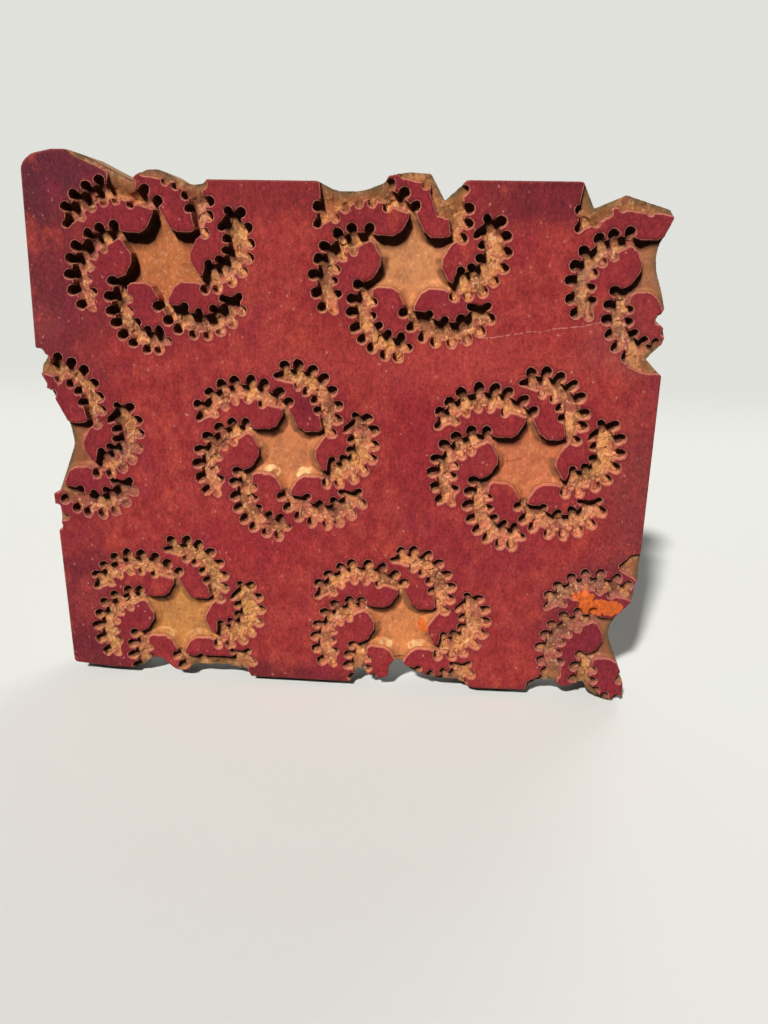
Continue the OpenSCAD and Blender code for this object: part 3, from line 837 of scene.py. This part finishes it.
def softened_copy(node, width):
    """Copy of a CAD board with its sharp edges eased; its attribute eased is 1 along the middle of each."""
    bm = bmesh.new()
    bm.from_mesh(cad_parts[node].data)
    bmesh.ops.remove_doubles(bm, verts=bm.verts, dist=0.005 * MM)
    bmesh.ops.dissolve_limit(bm, angle_limit=math.radians(1), verts=bm.verts, edges=bm.edges)
    sharp = [e for e in bm.edges if len(e.link_faces) == 2 and e.calc_face_angle(0) > math.radians(50)]
    grown = bmesh.ops.bevel(bm, geom=sharp, offset=width, offset_type="OFFSET", affect="EDGES", segments=2,
                            profile=0.5, material=-1, clamp_overlap=True)
    eased_layer = bm.verts.layers.float.new("eased")
    rounded = set(grown["faces"])
    for vertex in bm.verts:
        vertex[eased_layer] = float(all(face in rounded for face in vertex.link_faces))
    bmesh.ops.triangulate(bm, faces=bm.faces)
    mesh = bpy.data.meshes.new("eased_" + node)
    bm.to_mesh(mesh)
    bm.free()
    mesh.polygons.foreach_set("use_smooth", [True] * len(mesh.polygons))
    mesh.set_sharp_from_angle(angle=math.radians(35))
    return link("eased_" + node, mesh)


def dress(node, piece, material):
    piece.data.materials.append(material)
    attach(piece, "root")
    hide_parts(node)


def build():
    face = carved_face_finish()
    for name in FACE_BOARDS:
        dress(name, face_relief(name), face)
    for number, name in enumerate(CORE_BOARDS):
        core = board_finish("wood_of_" + name, 0, number, (198, 152, 104), (168, 120, 76), (140, 100, 66))
        dress(name, softened_copy(name, 0.5 * MM), core)
    for number, name in enumerate(BACK_BOARDS):
        back = board_finish("wood_of_" + name, 2, number, (188, 144, 98), (148, 104, 66), (104, 76, 52))
        dress(name, softened_copy(name, 1.0 * MM), back)
    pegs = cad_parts["layer_pegs"]
    pegs.data.materials.clear()
    pegs.data.materials.append(peg_finish())


# ---------- stage ----------

# What the camera sees behind the block, and the floor that comes out the same under the lamp
BACKGROUND = (0.755, 0.755, 0.72)
FLOOR_COLOUR = (0.745, 0.765, 0.745)


def set_stage():
    """Pale floor that bends up into a pale wall behind the block."""
    bm = bmesh.new()
    bmesh.ops.create_grid(bm, x_segments=1, y_segments=1, size=6)
    bmesh.ops.translate(bm, vec=(0, -3.2, 0), verts=bm.verts)
    back = [e for e in bm.edges if all(v.co.y > 2.7 for v in e.verts)]
    bmesh.ops.spin(bm, geom=back, cent=(0, 2.8, 1.2), axis=(1, 0, 0), dvec=(0, 0, 0), angle=math.pi / 2, steps=24)
    top = [e for e in bm.edges if all(v.co.z > 1.19 for v in e.verts)]
    grown = bmesh.ops.extrude_edge_only(bm, edges=top)["geom"]
    bmesh.ops.translate(bm, vec=(0, 0, 4), verts=[g for g in grown if isinstance(g, bmesh.types.BMVert)])
    mesh = bpy.data.meshes.new("backdrop")
    bm.to_mesh(mesh)
    bm.free()
    mesh.polygons.foreach_set("use_smooth", [True] * len(mesh.polygons))
    backdrop = link("backdrop", mesh)
    # Lets the lamp behind the wall reach the back of the block
    backdrop.visible_shadow = False
    s = Sheet("backdrop")
    seen = light_path(s)
    s.link(s.mix(seen, (0.08, 0.08, 0.08), FLOOR_COLOUR), s.shader.inputs["Base Color"])
    s.shader.inputs["Roughness"].default_value = 0.95
    s.shader.inputs["Specular IOR Level"].default_value = 0.0
    glow = s.add("ShaderNodeEmission")
    s.link(s.mix(seen, (0.5, 0.5, 0.5), BACKGROUND), glow.inputs["Color"])
    choice = s.add("ShaderNodeMixShader")
    s.link(s.ramp(s.y, 0.8, 2.2), choice.inputs[0])
    s.link(s.shader.outputs[0], choice.inputs[1])
    s.link(glow.outputs[0], choice.inputs[2])
    s.link(choice.outputs[0], s.output.inputs[0])
    mesh.materials.append(s.material)
    world = bpy.data.worlds.new("room")
    bpy.context.scene.world = world
    world.use_nodes = True
    sky = Sheet.of_world(world)
    fill = world.node_tree.nodes["Background"]
    fill.inputs["Strength"].default_value = 1.0
    sky.link(sky.mix(light_path(sky), (0.03, 0.03, 0.029), BACKGROUND), fill.inputs["Color"])


def light_path(sheet):
    """1 where a ray comes from the camera, a reflection or glass."""
    path = sheet.add("ShaderNodeLightPath").outputs
    seen = sheet.math("MAXIMUM", path["Is Camera Ray"], path["Is Glossy Ray"])
    return sheet.math("MAXIMUM", seen, path["Is Transmission Ray"])


def add_lamp(name, toward, energy, spread, colour):
    """Far lamp in the direction toward; spread is how wide it looks, in degrees."""
    lamp = bpy.data.lights.new(name, "SUN")
    lamp.energy = energy
    lamp.angle = math.radians(spread)
    lamp.color = colour
    stand = bpy.data.objects.new(name, lamp)
    stand.location = toward * 3
    stand.rotation_euler = toward.to_track_quat("Z", "Y").to_euler()
    bpy.context.collection.objects.link(stand)


set_camera()
build()
set_stage()
add_lamp("key", Vector((-0.25, -0.74, 0.64)), 4.4, 4, (1.0, 0.97, 0.93))
add_lamp("back_fill", Vector((0.35, 0.87, 0.34)), 1.3, 30, (1.0, 0.98, 0.96))
bpy.context.scene.view_settings.view_transform = "Standard"
